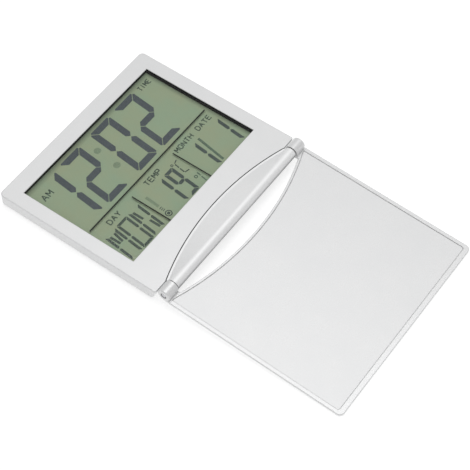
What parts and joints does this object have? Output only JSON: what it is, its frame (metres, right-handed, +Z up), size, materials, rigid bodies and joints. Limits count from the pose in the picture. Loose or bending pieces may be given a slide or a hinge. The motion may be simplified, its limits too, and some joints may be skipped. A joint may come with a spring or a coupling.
{
  "type": "folding travel alarm clock",
  "caption": "Slim folding travel alarm clock with a liquid crystal display, opened flat; its thin hinged cover shuts over the display or folds back as a stand.",
  "frame": {"origin": "centre of the footprint on the table, with the cover opened out flat", "axes": "+X along the hinge towards the right of the display, +Y from the hinge towards the top of the display, +Z up out of the display face"},
  "size_m": [0.08, 0.1428, 0.0084],
  "materials": {
    "silver_case": "silver spray over moulded plastic, fine satin grain",
    "silver_bar": "silver spray over moulded plastic, satin",
    "silver_cover": "silver spray over moulded plastic, satin",
    "silver_panel": "silver sprayed sheet, satin",
    "clear_lens": "clear polished acrylic",
    "black_plastic": "moulded black, matt",
    "polariser": "neutral polarising film",
    "display_glass": "thin sheet glass",
    "seal": "cured glue line",
    "reflector": "grey-green reflective film",
    "zebra_rubber": "layered conductive rubber",
    "board": "green lacquered circuit board",
    "resin": "black potting resin",
    "can": "drawn can",
    "bead": "coated bead with tinned leads",
    "smd": "fired ceramic parts",
    "brass": "thin brass disc",
    "steel": "plated steel",
    "cell": "nickel plated cell can",
    "grey_button": "soft grey rubber",
    "door": "silver spray over moulded plastic, satin"
  },
  "bodies": {
    "clock": {"front_case": "silver_case", "rear_case": "silver_case", "hinge_crescent": "silver_bar", "hinge_pin_left": "steel", "hinge_pin_right": "steel", "display_lens": "clear_lens", "lcd_spacer": "black_plastic", "lcd_front_polariser": "polariser", "lcd_front_glass": "display_glass", "lcd_seal": "seal", "lcd_rear_glass": "display_glass", "lcd_reflector": "reflector", "zebra_connector": "zebra_rubber", "circuit_board": "board", "controller_chip": "resin", "quartz_crystal": "can", "thermistor": "bead", "smd_parts": "smd", "piezo_buzzer": "brass", "piezo_springs": "steel", "battery_cell": "cell", "negative_contact": "steel", "positive_contact": "steel", "button_domes": "steel", "case_screws": "steel"},
    "cover": {"cover_shell": "silver_cover", "cover_panel": "silver_panel"},
    "door": {"battery_door": "door"},
    "mode_key": {"mode_button": "grey_button"},
    "set_key": {"set_button": "grey_button"},
    "up_key": {"up_button": "grey_button"},
    "down_key": {"down_button": "grey_button"}
  },
  "joints": [
    {"name": "cover_hinge", "type": "hinge", "parent": "clock", "child": "cover", "pos_m": [0, -0.00007, 0.006], "axis": [-1, 0, 0], "range_deg": [-102, 182.87]},
    {"name": "door_twist", "type": "hinge", "parent": "clock", "child": "door", "pos_m": [0, 0.04393, 0.0005], "axis": [0, 0, 1], "range_deg": [0, 50]},
    {"name": "mode_press", "type": "slide", "parent": "clock", "child": "mode_key", "axis": [0, 0, 1], "range_m": [0, 0.0004], "stiffness_N_per_m": 1500},
    {"name": "set_press", "type": "slide", "parent": "clock", "child": "set_key", "axis": [0, 0, 1], "range_m": [0, 0.0004], "stiffness_N_per_m": 1500},
    {"name": "up_press", "type": "slide", "parent": "clock", "child": "up_key", "axis": [0, 0, 1], "range_m": [0, 0.0004], "stiffness_N_per_m": 1500},
    {"name": "down_press", "type": "slide", "parent": "clock", "child": "down_key", "axis": [0, 0, 1], "range_m": [0, 0.0004], "stiffness_N_per_m": 1500}
  ]
}
